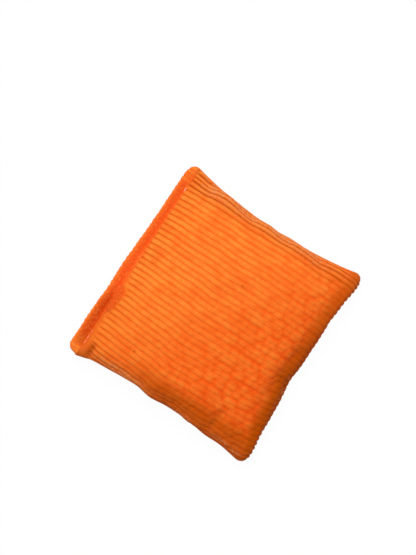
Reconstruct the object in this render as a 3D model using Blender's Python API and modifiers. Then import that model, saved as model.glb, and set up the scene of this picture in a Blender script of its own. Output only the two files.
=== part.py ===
"""A toss bean bag: two corduroy panels, seamed round three sides and turned right side out,
filled with small pellets, and closed by a hem that is folded in and stitched through.

Metres, +Z up. The bag lies flat with its wales along X, its closing seam at -X, and the origin on
the surface it rests on, under its middle. Every piece is laid out about the seam plane, the level
plane in which the two panels meet.
"""

import math

import bmesh
import bpy
from mathutils import Matrix, Vector

# Filled bag, over the outside of the cloth
BAG_LENGTH = 0.108
BAG_WIDTH = 0.113
BAG_HEIGHT = 0.030
SEAM_HEIGHT = 0.0115
SIDE_DRAW_IN = 0.0040
END_DRAW_IN = 0.0028
CORNER_ROUNDING = 0.0009
CLEARANCE = 0.0003

# Cloth, and how much of it is turned in past each row of stitches
CLOTH_THICKNESS = 0.0012
SEAM_ALLOWANCE = 0.0060
HEM_PAST_STITCHES = 0.0035

# Stitching: the closing row from the bag's edge, the side row from the middle of the fold
THREAD_DIAMETER = 0.0003
THREAD_CLEARANCE = 0.0002
CLOSING_BAND = 0.0065
CLOSING_STITCH = 0.0040
CLOSING_END_MARGIN = 0.0035
SIDE_STITCH = 0.0050
SIDE_STITCH_INSET = 0.0020
SIDE_START = 0.0040
CUT_OVERRUN = 0.0001

# Pellet fill, from the middle of the fold
FILL_INSET = 0.0030

# Shape of the crown: a panel is fuller the nearer its fullness is to 0, and the front one is
# slack towards the far side, the resting share is how much of its full depth the underside has
# when the surface stops it, and the line shares space the cloth's grid
CROWN_FULLNESS = 0.38
FAR_FRONT_FULLNESS = 0.7
RESTING_SHARE = 0.7
LINE_SHARES = (0.0, 0.03, 0.075, 0.14, 0.22, 0.31, 0.405)
FOLD_STEPS = 4

FRONT = 1
BACK = -1
FLOAT_TOLERANCE = 1e-5

# Plan of the cloth's middle surface, out to the middle of its folds
half_length = (BAG_LENGTH - CLOTH_THICKNESS) / 2
half_width = (BAG_WIDTH - CLOTH_THICKNESS) / 2
stitch_x = CLOSING_BAND - BAG_LENGTH / 2
raw_edge_insets = (
    stitch_x + HEM_PAST_STITCHES + half_length,
    SIDE_STITCH_INSET + SEAM_ALLOWANCE,
)

# Levels of the cloth's middle, from the seam plane: the turned-in layer, and the face over it
allowance_level = (CLEARANCE + CLOTH_THICKNESS) / 2
face_level = allowance_level + CLOTH_THICKNESS + CLEARANCE
fold_radius = (face_level - allowance_level) / 2
face_half_length = half_length - fold_radius
face_half_width = half_width - fold_radius

# Threads, from the seam plane: a run lies on the cloth, and a loop's end passes its partner's
thread_radius = THREAD_DIAMETER / 2
thread_spacing = THREAD_DIAMETER + THREAD_CLEARANCE
stand_off = THREAD_CLEARANCE + thread_radius
allowance_top = allowance_level + CLOTH_THICKNESS / 2
face_edge_top = face_level + CLOTH_THICKNESS / 2
side_run_level = allowance_top + stand_off
closing_run_level = face_edge_top + stand_off
hole_width = 2 * (thread_spacing + thread_radius + THREAD_CLEARANCE)

# The cloth starts to rise over the fill just inside the closing stitches
crown_x = stitch_x + (hole_width + CLOTH_THICKNESS) / 2

# Highest and lowest levels that the cloth's middle reaches, from the seam plane
cloth_apex = {
    FRONT: BAG_HEIGHT - SEAM_HEIGHT - CLOTH_THICKNESS / 2,
    BACK: SEAM_HEIGHT - CLOTH_THICKNESS / 2,
}
fill_groove_level = side_run_level + thread_radius + CLEARANCE


def clear_scene():
    for obj in list(bpy.data.objects):
        bpy.data.objects.remove(obj)


def new_collection(name):
    collection = bpy.data.collections.new(name)
    bpy.context.scene.collection.children.link(collection)
    return collection


def new_material(name, colour, roughness):
    material = bpy.data.materials.new(name)
    material.use_nodes = True
    shader = material.node_tree.nodes["Principled BSDF"]
    shader.inputs["Base Color"].default_value = (*colour, 1)
    shader.inputs["Roughness"].default_value = roughness
    shader.inputs["Metallic"].default_value = 0
    return material


def place_object(name, data, collection, material):
    """Adds the data as an object whose own origin lies in the seam plane."""
    obj = bpy.data.objects.new(name, data)
    obj.location.z = SEAM_HEIGHT
    data.materials.append(material)
    collection.objects.link(obj)
    return obj


def grid_lines(start, end):
    """Grid lines from one seam to the seam across from it, closest together beside both."""
    shares = [*LINE_SHARES, 0.5, *(1 - share for share in reversed(LINE_SHARES))]
    return [start + (end - start) * share for share in shares]


def drawn_in(x, y):
    """Moves a point of the flat plan to where the filled bag pulls it."""
    from_closing = (x + half_length) / (2 * half_length)
    end_pull = END_DRAW_IN * from_closing * (1 - (y / half_width) ** 2)
    side_pull = SIDE_DRAW_IN * (y / half_width) * (1 - (x / half_length) ** 2)
    return x - end_pull, y - side_pull


def arch(value, start, end, end_fullness=CROWN_FULLNESS):
    """0 at start and end, and 1 midway. Its second half has the fullness given."""
    share = min(max((value - start) / (end - start), 0), 1)
    fullness = CROWN_FULLNESS if share < 0.5 else end_fullness
    return (4 * share * (1 - share)) ** fullness


def crowned_level(x, y, side, edges, base_level, apex_level):
    """Level of a crowned sheet, whose edges are given as closing x, far x and half width."""
    closing_x, far_x, side_y = edges
    rise = arch(y, -side_y, side_y)
    if side == FRONT:
        rise *= arch(x, closing_x, far_x, FAR_FRONT_FULLNESS)
        return base_level + (apex_level - base_level) * rise
    rise *= arch(x, closing_x, far_x)
    return base_level + (apex_level - base_level) * min(rise / RESTING_SHARE, 1)


def add_layout(mesh, columns, rows, ring_count):
    """Adds a flat grid with rings drawn round its edge, and gives back its points. A point's z
    holds the number of its ring, and the grid itself is ring 0."""
    grid = bmesh.ops.create_grid(
        mesh, x_segments=len(columns) - 1, y_segments=len(rows) - 1, size=1
    )
    points = list(grid["verts"])
    for point in points:
        column = round((point.co.x + 1) / 2 * (len(columns) - 1))
        row = round((point.co.y + 1) / 2 * (len(rows) - 1))
        point.co = (columns[column], rows[row], 0)
    own = set(points)
    edge = [line for line in mesh.edges if line.is_boundary and line.verts[0] in own]
    for ring in range(1, ring_count + 1):
        drawn = bmesh.ops.extrude_edge_only(mesh, edges=edge)["geom"]
        fresh = [item for item in drawn if isinstance(item, bmesh.types.BMVert)]
        for point in fresh:
            point.co.z = ring
        own = set(fresh)
        edge = [line for line in mesh.edges if line.verts[0] in own and line.verts[1] in own]
        points += fresh
    return points


def inset_plan(x, y, start_insets, end_insets):
    """Slides an edge point in. Insets are from the plan's outline: closing side, then seams."""
    share = (x + half_length - start_insets[0]) / (2 * half_length - sum(start_insets))
    new_x = end_insets[0] - half_length + share * (2 * half_length - sum(end_insets))
    new_y = y * (half_width - end_insets[1]) / (half_width - start_insets[1])
    return new_x, new_y


def panel_rings():
    """Inset on the closing side, inset on the seams, and level, of each ring of the turned edge:
    round the fold first, and last the raw edge inside."""
    rings = []
    for step in range(1, FOLD_STEPS + 1):
        turn = Matrix.Rotation(math.pi * step / FOLD_STEPS, 2)
        out, up = turn @ Vector((0, fold_radius))
        inset = fold_radius + out
        rings.append((inset, inset, allowance_level + fold_radius + up))
    rings.append((*raw_edge_insets, allowance_level))
    return rings


def is_corner(x, y):
    at_end = math.isclose(abs(x), face_half_length, rel_tol=FLOAT_TOLERANCE)
    return at_end and math.isclose(abs(y), face_half_width, rel_tol=FLOAT_TOLERANCE)


def panel_point(layout, side, rings):
    """Place of one point of a panel's middle surface."""
    x, y = layout.x, layout.y
    ring = round(layout.z)
    at_corner = is_corner(x, y)
    edges = (crown_x, face_half_length, face_half_width)
    level = crowned_level(x, y, side, edges, face_level, cloth_apex[side])
    if ring:
        closing_inset, seam_inset, level = rings[ring - 1]
        fold = (fold_radius, fold_radius)
        x, y = inset_plan(x, y, fold, (closing_inset, seam_inset))
    if at_corner and ring < len(rings):
        x -= math.copysign(CORNER_ROUNDING, x)
        y -= math.copysign(CORNER_ROUNDING, y)
    return (*drawn_in(x, y), side * level)


def build_panel(name, side, collection, holes, material):
    """One panel: its crowned face, the fold at its edge and the cloth turned in behind."""
    columns = [-face_half_length, (crown_x - face_half_length) / 2]
    columns += grid_lines(crown_x, face_half_length)
    rows = grid_lines(-face_half_width, face_half_width)
    rings = panel_rings()
    mesh = bmesh.new()
    for point in add_layout(mesh, columns, rows, len(rings)):
        point.co = panel_point(point.co, side, rings)
    data = bpy.data.meshes.new(name)
    mesh.to_mesh(data)
    mesh.free()
    data.shade_smooth()
    panel = place_object(name, data, collection, material)
    cloth = panel.modifiers.new("cloth", "SOLIDIFY")
    cloth.thickness = CLOTH_THICKNESS
    cloth.offset = 0
    cloth.use_even_offset = True
    cut = panel.modifiers.new("stitch_holes", "BOOLEAN")
    cut.operation = "DIFFERENCE"
    cut.solver = "EXACT"
    cut.object = holes
    return panel


def stations_between(start, end, stitch):
    """Evenly spaced needle holes between two points of the flat plan, and the way they run."""
    path = end - start
    count = round(path.length / stitch)
    along = path.normalized()
    return [(start + path * (step + 0.5) / count, along) for step in range(count)]


def closing_stations():
    y = half_width - CLOSING_END_MARGIN
    return stations_between(Vector((stitch_x, -y)), Vector((stitch_x, y)), CLOSING_STITCH)


def side_stations():
    """Needle holes round the three seamed sides, from one end of the closing seam to the other."""
    start_x = stitch_x + SIDE_START
    far_x = half_length - SIDE_STITCH_INSET
    y = half_width - SIDE_STITCH_INSET
    corners = [Vector((start_x, -y)), Vector((far_x, -y)), Vector((far_x, y)), Vector((start_x, y))]
    stations = []
    for start, end in zip(corners, corners[1:]):
        stations += stations_between(start, end, SIDE_STITCH)
    return stations


def build_stitch_holes(collection):
    """Square holes through the turned-in layers, and through all four at the closing seam."""
    mesh = bmesh.new()
    for stations, top in ((closing_stations(), face_edge_top), (side_stations(), allowance_top)):
        height = 2 * (top + CUT_OVERRUN)
        size = Matrix.Diagonal((hole_width, hole_width, height, 1))
        for station, _ in stations:
            place = Matrix.Translation((*drawn_in(*station), 0))
            bmesh.ops.create_cube(mesh, size=1, matrix=place @ size)
    data = bpy.data.meshes.new("stitch_holes")
    mesh.to_mesh(data)
    mesh.free()
    holes = bpy.data.objects.new("stitch_holes", data)
    holes.location.z = SEAM_HEIGHT
    holes.hide_render = True
    holes.display_type = "WIRE"
    collection.objects.link(holes)
    return holes


def needle_path(stations, run_level):
    """Down beside the bobbin thread, under it and up again at each hole."""
    low = -thread_spacing / 2
    points = []
    for station, along in stations:
        side = Vector((-along.y, along.x)) * thread_spacing
        loop = ((side, run_level), (side, low), (-side, low), (-side, run_level))
        points += [(*drawn_in(*(station + offset)), level) for offset, level in loop]
    return points


def bobbin_path(stations, run_level):
    """Up, through the needle thread's loop and down again at each hole."""
    high = thread_spacing / 2
    points = []
    for station, along in stations:
        ahead = along * thread_spacing
        loop = ((-ahead, -run_level), (-ahead, high), (ahead, high), (ahead, -run_level))
        points += [(*drawn_in(*(station + offset)), level) for offset, level in loop]
    return points


def build_thread(name, path, collection, material):
    curve = bpy.data.curves.new(name, "CURVE")
    curve.dimensions = "3D"
    curve.bevel_depth = thread_radius
    curve.bevel_resolution = 0
    curve.use_fill_caps = True
    spline = curve.splines.new("POLY")
    spline.points.add(len(path) - 1)
    for point, place in zip(spline.points, path):
        point.co = (*place, 1)
    return place_object(name, curve, collection, material)


def fill_point(layout, side):
    """Place of one point of the fill's surface. Ring 0 is the heap, and rings 1 and 2 are the
    groove round it that the turned-in cloth lies in."""
    x, y = layout.x, layout.y
    ring = round(layout.z)
    edges = (crown_x + FILL_INSET, half_length - FILL_INSET, half_width - FILL_INSET)
    lining = CLOTH_THICKNESS / 2 + CLEARANCE
    if side == FRONT:
        lining += CLEARANCE
    apex = cloth_apex[side] - lining
    level = crowned_level(x, y, side, edges, fill_groove_level, apex)
    if ring:
        level = fill_groove_level if ring == 1 else 0
        heap_insets = (edges[0] + half_length, FILL_INSET)
        clear_of = [max(pair) for pair in zip(raw_edge_insets, heap_insets)]
        groove_insets = [inset + CLEARANCE for inset in clear_of]
        x, y = inset_plan(x, y, heap_insets, groove_insets)
    return (*drawn_in(x, y), side * level)


def build_fill(collection, material):
    """The heap of pellets as one closed solid, in two halves that meet in the seam plane."""
    columns = grid_lines(crown_x + FILL_INSET, half_length - FILL_INSET)
    rows = grid_lines(FILL_INSET - half_width, half_width - FILL_INSET)
    mesh = bmesh.new()
    for side in (FRONT, BACK):
        points = add_layout(mesh, columns, rows, 2)
        for point in points:
            point.co = fill_point(point.co, side)
    underside = {face for point in points for face in point.link_faces}
    bmesh.ops.reverse_faces(mesh, faces=list(underside))
    bmesh.ops.remove_doubles(mesh, verts=mesh.verts, dist=CLEARANCE / 100)
    data = bpy.data.meshes.new("pellet_fill")
    mesh.to_mesh(data)
    mesh.free()
    data.shade_smooth()
    return place_object("pellet_fill", data, collection, material)


def build_bag():
    parts = new_collection("toss_bean_bag")
    cutters = new_collection("cutters")
    holes = build_stitch_holes(cutters)
    corduroy = (0.85, 0.15, 0.02)
    build_panel("front_panel", FRONT, parts, holes, new_material("front_corduroy", corduroy, 0.9))
    build_panel("back_panel", BACK, parts, holes, new_material("back_corduroy", corduroy, 0.9))
    seams = {
        "side_seam": (side_stations(), side_run_level),
        "closing_seam": (closing_stations(), closing_run_level),
    }
    for seam, (stations, run_level) in seams.items():
        for thread, path in (("needle", needle_path), ("bobbin", bobbin_path)):
            name = f"{seam}_{thread}_thread"
            material = new_material(name, (0.80, 0.68, 0.55), 0.7)
            build_thread(name, path(stations, run_level), parts, material)
    build_fill(parts, new_material("pellets", (0.80, 0.78, 0.72), 0.5))


clear_scene()
build_bag()
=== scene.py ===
import math
from types import SimpleNamespace

import bmesh
import bpy
import numpy as np
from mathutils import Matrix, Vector
from mathutils.bvhtree import BVHTree


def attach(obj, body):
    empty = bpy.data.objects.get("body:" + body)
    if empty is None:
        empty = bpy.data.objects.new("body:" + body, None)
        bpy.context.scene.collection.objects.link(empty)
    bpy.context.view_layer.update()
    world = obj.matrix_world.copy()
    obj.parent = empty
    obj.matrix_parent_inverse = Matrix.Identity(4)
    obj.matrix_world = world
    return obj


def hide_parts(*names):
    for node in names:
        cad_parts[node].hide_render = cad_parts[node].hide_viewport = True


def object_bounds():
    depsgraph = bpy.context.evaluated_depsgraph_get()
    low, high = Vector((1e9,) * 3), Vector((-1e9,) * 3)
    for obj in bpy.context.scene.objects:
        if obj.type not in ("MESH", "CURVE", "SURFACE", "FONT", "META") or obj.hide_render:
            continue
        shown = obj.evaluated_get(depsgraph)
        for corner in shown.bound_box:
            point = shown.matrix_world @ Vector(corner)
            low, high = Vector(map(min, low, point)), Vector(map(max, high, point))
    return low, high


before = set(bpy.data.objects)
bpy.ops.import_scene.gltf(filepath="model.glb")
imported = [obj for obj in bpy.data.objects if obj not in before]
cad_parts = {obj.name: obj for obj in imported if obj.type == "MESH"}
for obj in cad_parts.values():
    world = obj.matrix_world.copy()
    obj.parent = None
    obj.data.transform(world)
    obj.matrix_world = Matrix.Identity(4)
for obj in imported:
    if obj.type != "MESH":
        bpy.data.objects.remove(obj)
cad_low, cad_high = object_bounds()
MM = 0.001

# Bag and cloth. The closing seam is at -X, and the wales run along X
HALF_LENGTH = 54.0 * MM
HALF_WIDTH = 56.0 * MM
WALE_COUNT = 40
WALE_WIDTH = 2 * HALF_WIDTH / WALE_COUNT
WALE_HEIGHT = 0.56 * MM
CLOTH_OUT = 1.2 * MM
LIP_OUT = -0.2 * MM
SEAM_ROUNDING = 6.5 * MM
ROUNDING_POWER = 0.6
SEAM_HEIGHT = 11.5 * MM
REST_GAP = 1.7 * MM
PRESSED_LEVEL = 0.08 * MM

# Crown before the simulation, and how full it is along and across the wales
CROWN_RISE = 18.0 * MM
CLOSING_POWER = 2.0
FAR_POWER = 2.4
CROWN_SHARE = 0.5
CROSS_SHARE = 0.42
BACK_POWER = 2.6
BACK_SHARE = 0.55

# Closing seam and its hem
STITCH_LINE_X = -47.6 * MM
BAND_WIDTH = 5.7 * MM
BAND_HALF_THICKNESS = 2.3 * MM
BAND_END_Y = 57.0 * MM
TOP_HEM_CORNER = 5.6 * MM
LOW_HEM_CORNER = 3.8 * MM
STITCHED_HEIGHT = 1.5 * MM
PLAIN_STRIP = 6.0 * MM
HEM_SCALLOP = 0.24 * MM
HEM_SWELL = 0.22 * MM
HEM_FUZZ_OUT = 0.1 * MM
HEM_FUZZ_UP = 0.12 * MM
HEM_WAVE_OUT = 0.15 * MM
HEM_WAVE_UP = 0.3 * MM

# Far side: the back's roll over it, and the bumps of the wales' ends
FAR_CORNER = 6.4 * MM
FAR_BULGE = 2.0 * MM
FAR_ROLL = 1.2 * MM
FAR_BULGE_REACH = 15.0 * MM
FAR_SEAM_LIFT = 2.0 * MM
MIDDLE_POWER = 4
ROLL_POWER = 0.8
FAR_SCALLOP = 0.7 * MM
FAR_SCALLOP_REACH = 2.5 * MM
MEAN_RIDGE_SHARE = 0.68

# The two other sides, where the pellets don't fill the cover out
SIDE_TAPER_SHARE = 0.7
SIDE_TAPER_REACH = 3.0 * MM

# The outline seen from above, at even places: far edge from -Y to +Y, the others from -X to +X
FAR_EDGE_SHARES = (
    1.020, 1.028, 1.009, 0.992, 0.973, 0.945, 0.962, 0.958, 0.965, 0.966, 0.980, 0.998, 0.992,
)
TOP_EDGE_SHARES = (
    1.014, 0.982, 0.952, 0.934, 0.922, 0.914, 0.915, 0.931, 0.931, 0.946, 0.967, 0.995, 1.030,
)
BOTTOM_EDGE_SHARES = (
    1.025, 0.980, 0.965, 0.954, 0.951, 0.974, 0.961, 0.960, 0.969, 0.989, 0.989, 1.010, 1.036,
)
BAND_EDGE_SHARES = (1.06, 1.07, 1.09, 1.06, 1.0, 1.03, 1.02, 0.98, 0.9, 0.87, 0.86, 0.84, 0.8)

# Both sides without their small waves, which only the outer wales take up
EVEN_TOP_SHARES = (1.0, 0.955, 0.932, 0.926, 0.93, 0.96, 1.0)
EVEN_BOTTOM_SHARES = (1.0, 0.975, 0.96, 0.957, 0.96, 0.98, 1.01)
EDGE_DETAIL_POWER = 6

# How far the outer wales wander, as shares of a wale, at even places from -X to +X
TOP_WAVE_SHARES = (
    0.10, -0.20, -0.35, 0.12, 0.28, 0.10, -0.15, -0.26, 0.0, 0.12, 0.0,
    -0.18, 0.0, 0.12, 0.04, -0.12, -0.08, 0.10, 0.04, 0.0, 0.0,
)
BOTTOM_WAVE_SHARES = (
    0.0, 0.0, 0.10, 0.10, 0.10, 0.14, 0.10, 0.0, -0.10, -0.06, 0.20,
    0.36, 0.22, -0.04, -0.14, 0.14, 0.20, 0.0, -0.14, -0.05, 0.0,
)

# The closing seam from -Y to +Y: where the wales begin, and how high the stitches lie
WALE_START_SHARES = (0.9, 0.6, 0.4, 0.5, 0.72, 0.3, 0.05, 0.0, 0.0, 0.0, 0.0, 0.0, 0.1)
STITCH_LIFT_SHARES = (1.35, 0.8, 0.6, 0.55, 0.75, 1.0, 1.0, 1.0, 1.0, 1.0, 1.0, 1.05, 1.35)

# Widths of the outermost wales, pressed together at the sides, from the edge inwards
LOW_WALE_SHARES = (1.0, 0.8, 0.95, 0.87, 0.92)
HIGH_WALE_SHARES = (1.0, 0.75, 0.8, 0.93, 0.97)

# Section of one wale: places across it and the height of the pile, also where it is crushed
WALE_SHARES = (0.0, 0.07, 0.15, 0.27, 0.42, 0.58, 0.73, 0.85, 0.93)
RIDGE_SHARES = (0.0, 0.27, 0.62, 0.88, 1.0, 1.0, 0.88, 0.62, 0.27)
CRUSHED_SHARE = 0.65

# Section of half the hem, as out from the stitches and up, and how red it is across its width
BAND_SHARES = (
    (1.0, 0.04),
    (1.03, 0.22),
    (1.0, 0.46),
    (0.93, 0.7),
    (0.82, 0.88),
    (0.68, 0.98),
    (0.54, 1.0),
    (0.4, 0.95),
    (0.27, 0.87),
    (0.16, 0.79),
    (0.07, 0.71),
)
BAND_RED_SHARES = (0.35, 0.6, 0.9, 1.0, 1.0, 0.95, 0.85, 0.45, 0.1)

# Cloth simulation, run ten times too large because the solver likes metres
SIM_SCALE = 10
SIM_COLUMNS = 44
SIM_ROWS = 48
SIM_FRAMES = 22
VOLUME_SHARE = 1.04
CONTACT_GAP = 0.002
CONTACT_QUALITY = 3
TABLE_REACH = 0.3
TABLE_DROP = 0.004
TABLE_FRICTION = 15
CLOTH_SETTINGS = {
    "quality": 8,
    "mass": 0.002,
    "tension_stiffness": 300,
    "compression_stiffness": 300,
    "shear_stiffness": 30,
    "bending_stiffness": 0.01,
    "tension_damping": 5,
    "compression_damping": 5,
    "shear_damping": 5,
    "bending_damping": 0.5,
    "air_damping": 1,
    "use_pressure": True,
    "uniform_pressure_force": 0,
    "use_pressure_volume": True,
    "pressure_factor": 20,
    "fluid_density": 0.15,
}

# Stitches
THREAD_RADIUS = 0.22 * MM
THREAD_SIDES = 6
THREAD_RISE = 0.5 * MM
THREAD_SUNK = 0.35 * MM
SIDE_PITCH = 2.5 * MM
SIDE_DEPTH = 0.5 * MM
CLOSING_PITCH = 3.1 * MM
CLOSING_DEPTH = 0.55 * MM
CLOSING_END_SHARE = 0.9
STITCH_STEPS = 8
STITCH_POWER = 0.5
SEAM_ALLOWANCE = 2.2 * MM
SEAM_START_SHARE = 0.01
SIDE_SEAM_STEPS = 90
CLOSING_SEAM_STEPS = 200

# Pellets
PELLET_RADIUS = 2.25 * MM
PELLET_PITCH = 4.63 * MM
PELLET_CLEARANCE = 0.9 * MM
PELLET_SIDES = 7
PELLET_RINGS = 4
PELLET_SEED = 7
PELLET_SIZE_SHARES = (0.9, 1.0)
PELLET_FLATNESS_SHARE = 0.82
PELLET_POWER = 0.8

# Steps of the fine surface, closer together near the stitches, and of a table that is read
FINE_COLUMNS = 190
COLUMN_POWER = 0.9
TABLE_STEPS = 241
TINY = 1e-12

# Noise over the cloth: cell in millimetres, seed, and how far x and y are squeezed
NOISE_CELLS = 256
NOISE_START = (512.37, 512.71)
NOISES = {
    "wander": (7, 51, 1, 0.4),
    "waver": (2.2, 52, 1, 1),
    "blotches": (7, 61, 1, 1.6),
    "stray": (9, 5, 1, 1),
    "settled": (6, 12, 1, 1),
    "soft": (16, 21, 1, 1),
    "softer": (8, 22, 1, 1),
    "pile": (0.5, 31, 0.5, 1),
    "hem fuzz": (0.9, 41, 1, 1),
    "hem waves": (6, 42, 1, 1),
}

# Lumps that the fill makes: their spacing, how far they stray, their sizes, and their reach
LUMP_SPACING = 4.6 * MM
LUMP_SEED = 11
LUMP_STRAY = 2 * MM
LUMP_STRAY_SHARE = 0.32
LUMP_SIZE_SHARES = (0.75, 1.1)
LUMP_REACH_SHARE = 0.72

# Relief, and shares of its finer noises
LUMP_HEIGHT = 0.5 * MM
SOFT_HEIGHT = 0.4 * MM
PILE_HEIGHT = 0.02 * MM
WAVER_SHARE = 0.04
SOFTER_SHARE = 0.5

# The way to the shaded corner, where shade is painted, and how far blotches move the painted shade
SHADE_X_SHARE = 0.85
SHADE_Y_SHARE = 0.5
BLOTCH_REACH = 13 * MM

# Millimetres where each change over the cloth starts and is complete
FADES = {
    "waves in": (0, 5),
    "waves out": (7, 16),
    "wale's start": (0, 1.3),
    "drift": (0, 4),
    "stitches": (0, 4),
    "sag": (-38, 46),
    "shade": (-18, 46),
    "lumps from edge": (0, 9),
    "lumps from stitches": (0, 8),
    "gathers": (4, 14),
    "scallops": (0, 6),
    "folds": (0, 3),
    # Where the painted shade lies in the grooves by the stitches and at the sides
    "inner grooves": (3, 15),
    "top grooves": (9, 17),
    "low grooves": (6, 14),
    # Where the painted shade lies on the rolled far edge and on the far part of the low side
    "far roll": (-10.5, -3.5),
    "low roll": (-20, 10),
    "low side": (38, 47),
    "low side far": (-34, 4),
    # Where painted sheen lies on the turned-down wales, and across the top's middle
    "turned down": (5, 14),
    "sheen near": (1, 16),
    "sheen far": (26, 42),
    "hem's ends": (45, 50),
    # Where the painted shade on the hem's lower inner half starts and ends
    "hem shade starts": (15, 26),
    "hem shade ends": (50, 54),
    "lip's low end": (2.5, 5),
    "crossing": (44, 49),
}
# Where the hem's painted shade fades out across its width
HEM_SHADE_FADE_SHARES = (0.72, 0.98)
LIP_FADE_SHARES = (0.85, 1.15)
HEM_LIFT_FADE_SHARES = (0.05, 0.6)

# What each effect weighs at an amount of 0, and what an amount of 1 adds
RAMP_SHARES = {
    "wander": (0.04, 0.06),
    "crest by sag": (1.0, -0.5),
    "crest by rounding": (0.7, 0.3),
    "crest by stitches": (0.4, 0.6),
    "top crest": (0.78, 0.62),
    "low crest": (0.78, 0.42),
    "settled lumps": (0.75, 0.25),
    "lumps by sag": (0.3, 0.7),
    "stitches' lift": (0.25, 0.75),
    "groove depth": (0.75, 0.5),
    "roll": (0.72, 0.28),
    "top sheen": (0.06, 0.30),
    "painted_sheen": (0.3, 0.7),
    "hem's red": (1.0, -0.75),
    "lip's reach": (0.5, 3.9),
    "lip's red": (0.35, 0.65),
    "hem's width": (0.2, 0.8),
    "hem's height": (0.25, 0.75),
    "hem's grooves": (0.25, 0.35),
}

# How strong the painted shade (browner), the painted sheen, the hem's painted shade and the
# grooves' painted shade are
BAND_GROOVE_SHADE_SHARE = 0.5
LOW_GROOVE_SHADE_SHARE = 0.45
OUTER_SHADE_SHARE = 0.18
LOW_SIDE_SHADE_SHARE = 0.8
LOW_SHEEN_SHARE = 0.05
HEM_SHADE_SHARE = 0.6
SAG_GROOVE_SHARE = 0.35
CROSSING_GROOVE_SHARE = 0.7
HEM_FUZZ_SHARE = 0.3
FUZZ_REACH = 1.6 * MM

# The raised lip and the closing seam's low end: middle and reach, as shares of half the width
LIP_SHARES = (0.39, 0.165)
LIP_POWER = 4
LOW_END_SHARES = (0.86, 0.09)
LOW_END_RED_SHARE = 0.4

# Spots as shares of half the width: centre x and y, reach in x and y, then how strong
# Painted shade in dimples and hollows and on shaded slopes and corners; the last two rows are
# small dark dots
DARK_AND_SHADE_SPOT_SHARES = (
    (-0.757, -0.905, 0.023, 0.060, 1.0),
    (0.53, -0.80, 0.04, 0.09, 0.6),
    (0.82, -0.41, 0.09, 0.11, 0.5),
    (-0.83, -1.01, 0.16, 0.075, 0.4),
    (-0.75, -0.65, 0.32, 0.36, 0.10),
    (0.064, 0.328, 0.015, 0.009, 0.95),
    (-0.423, -0.689, 0.010, 0.010, 0.95),
)
# Painted sheen on wales near the low side
SHEEN_SPOT_SHARES = (
    (-0.41, -0.915, 0.24, 0.030, 0.40),
    (0.23, -0.928, 0.09, 0.018, 0.55),
    (0.66, -0.930, 0.08, 0.018, 0.35),
    (0.83, -0.955, 0.05, 0.014, 0.35),
)
WORN_SPOT_SHARES = ((0.895, -0.28, 0.02, 0.19, 1.5),)

# Folds as shares of half the width: start x, start y, end x, end y, width, height
FOLD_SHARES = (
    (-0.786, 0.946, -0.679, 0.914, 0.022, -0.013),
    (-0.32, 0.884, -0.18, 0.873, 0.022, -0.010),
    (0.107, 0.88, 0.214, 0.875, 0.022, -0.008),
    (0.48, 0.90, 0.55, 0.885, 0.022, -0.008),
    (-0.50, -0.90, -0.20, -0.885, 0.022, -0.008),
    (0.10, -0.900, 0.330, -0.930, 0.023, 0.016),
    (-0.10, -0.90, 0.02, -0.875, 0.030, -0.008),
    (0.53, -0.85, 0.55, -0.74, 0.050, -0.022),
    (0.589, -0.884, 0.75, -0.932, 0.022, 0.010),
    (0.768, -0.357, 0.80, 0.107, 0.050, -0.012),
    (-0.805, -0.25, -0.805, -0.50, 0.024, 0.018),
    (-0.750, -0.875, -0.757, -0.946, 0.028, -0.026),
)

# Where the closing stitches show, from y to y as shares of half the width, and how far
SHOWING_SHARES = (
    (-0.895, -0.868, 0.5),
    (-0.850, -0.815, 0.6),
    (-0.785, -0.755, 0.35),
    (-0.490, -0.300, 0.2),
    (0.762, 0.798, 1.0),
)
SHOWING_FADE_SHARE = 0.01


def smooth_step(low, high, value):
    share = np.clip((value - low) / (high - low), 0, 1)
    return share * share * (3 - 2 * share)


def fade(label, value):
    """0 before the named change starts, and 1 once it is complete."""
    low, high = FADES[label]
    return smooth_step(low * MM, high * MM, value)


def ramp(label, amount):
    """What the named effect weighs at an amount."""
    start, rise = RAMP_SHARES[label]
    return start + rise * amount


def lattice_noise(x, y, cell, seed):
    """Smooth noise from -1 to 1 with bumps about one cell across."""
    rng = np.random.default_rng(seed)
    table = rng.uniform(-1, 1, (NOISE_CELLS, NOISE_CELLS))
    grid_x, grid_y = x / cell + NOISE_START[0], y / cell + NOISE_START[1]
    column, row = np.floor(grid_x).astype(int), np.floor(grid_y).astype(int)
    along = smooth_step(0, 1, grid_x - column)
    across = smooth_step(0, 1, grid_y - row)
    corners = [
        table[(column + dx) % NOISE_CELLS, (row + dy) % NOISE_CELLS] for dx, dy in np.ndindex(2, 2)
    ]
    low = corners[0] * (1 - along) + corners[2] * along
    high = corners[1] * (1 - along) + corners[3] * along
    return low * (1 - across) + high * across


def cloth_noise(label, x, y):
    cell, seed, squeeze_x, squeeze_y = NOISES[label]
    return lattice_noise(x * squeeze_x, y * squeeze_y, cell * MM, seed)


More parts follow.
